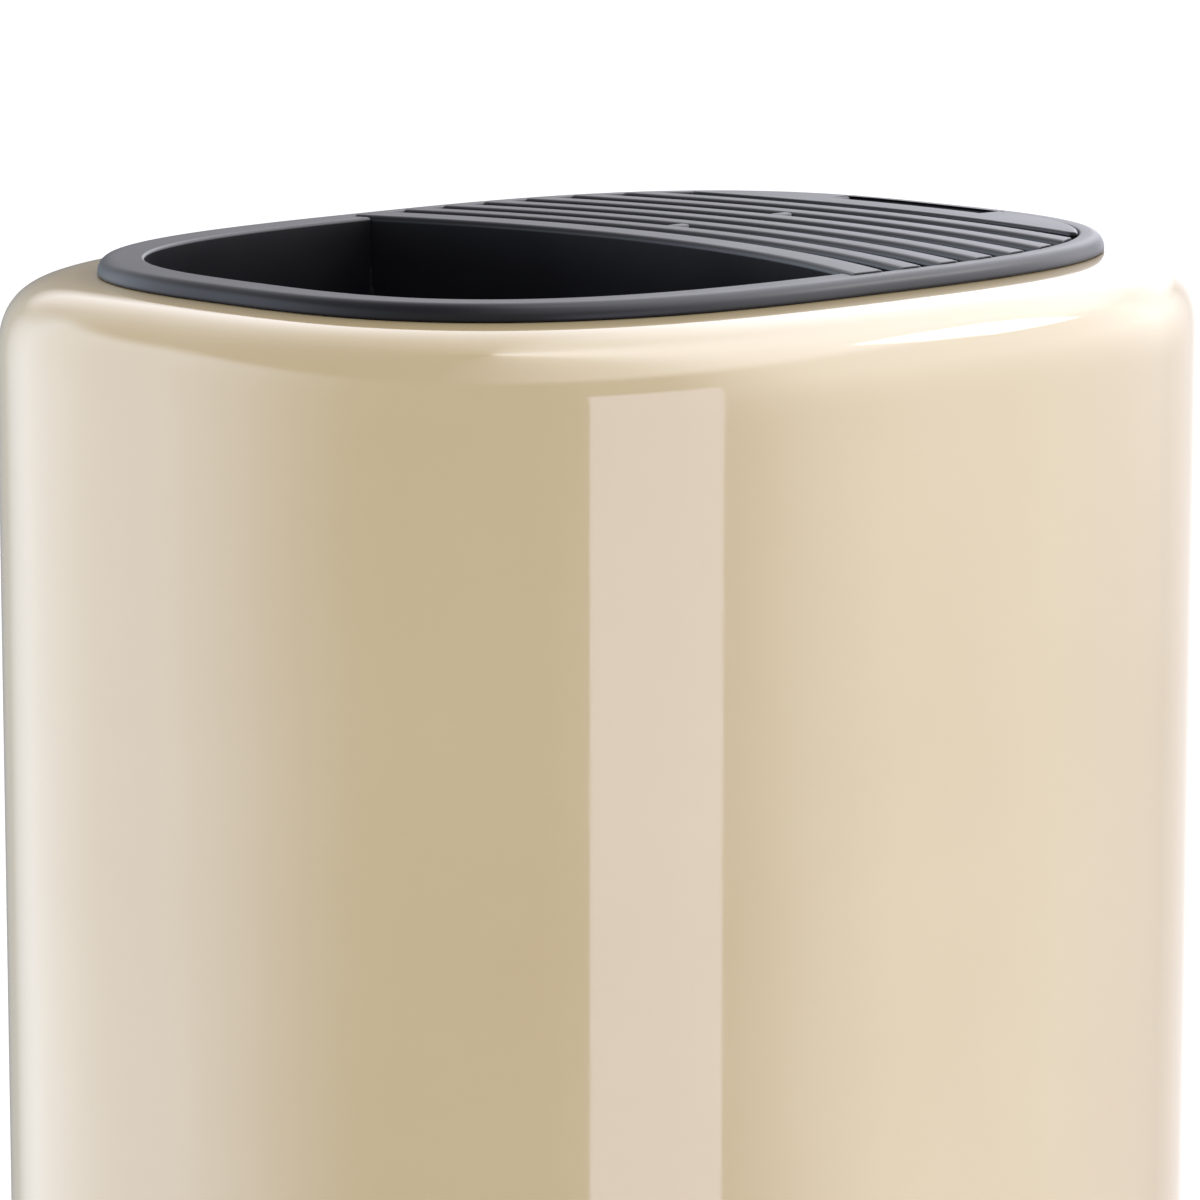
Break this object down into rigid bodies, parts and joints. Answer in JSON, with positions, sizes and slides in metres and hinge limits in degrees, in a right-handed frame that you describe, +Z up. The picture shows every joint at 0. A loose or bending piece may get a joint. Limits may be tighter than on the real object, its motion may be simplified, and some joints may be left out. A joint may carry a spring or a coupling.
{
  "type": "knife and utensil holder",
  "caption": "Free-standing kitchen holder with an open utensil cup and a slotted knife grille in a lift-out insert.",
  "frame": {"origin": "middle of the footprint, on the surface that the feet stand on", "axes": "+Z up, +X along the vessel's length from the utensil side to the knife side, +Y across it"},
  "size_m": [0.1852, 0.146, 0.2306],
  "materials": {
    "enamel": "gloss cream enamel on drawn steel",
    "pan_plastic": "moulded black plastic",
    "zinc_steel": "zinc-plated steel",
    "screw_steel": "zinc-plated screws",
    "liner_plastic": "moulded black plastic liner",
    "mat_rubber": "soft dark rubber",
    "gasket_rubber": "soft black rubber",
    "insert_plastic": "satin black moulded plastic",
    "foot_rubber": "soft black rubber"
  },
  "bodies": {
    "vessel": {"outer_shell": "enamel", "base_pan": "pan_plastic", "base_brackets": "zinc_steel", "base_screws": "screw_steel", "knife_bin": "liner_plastic", "tip_mat": "mat_rubber", "foot_front_left": "foot_rubber", "foot_front_right": "foot_rubber", "foot_back_left": "foot_rubber", "foot_back_right": "foot_rubber"},
    "insert": {"insert_rim": "insert_plastic", "rim_gasket": "gasket_rubber", "knife_grille": "insert_plastic", "utensil_cup": "insert_plastic", "utensil_mat": "mat_rubber", "insert_screws": "screw_steel"}
  },
  "joints": [
    {"name": "insert_lift", "type": "slide", "parent": "vessel", "child": "insert", "axis": [0, 0, 1], "range_m": [0, 0.175]}
  ]
}
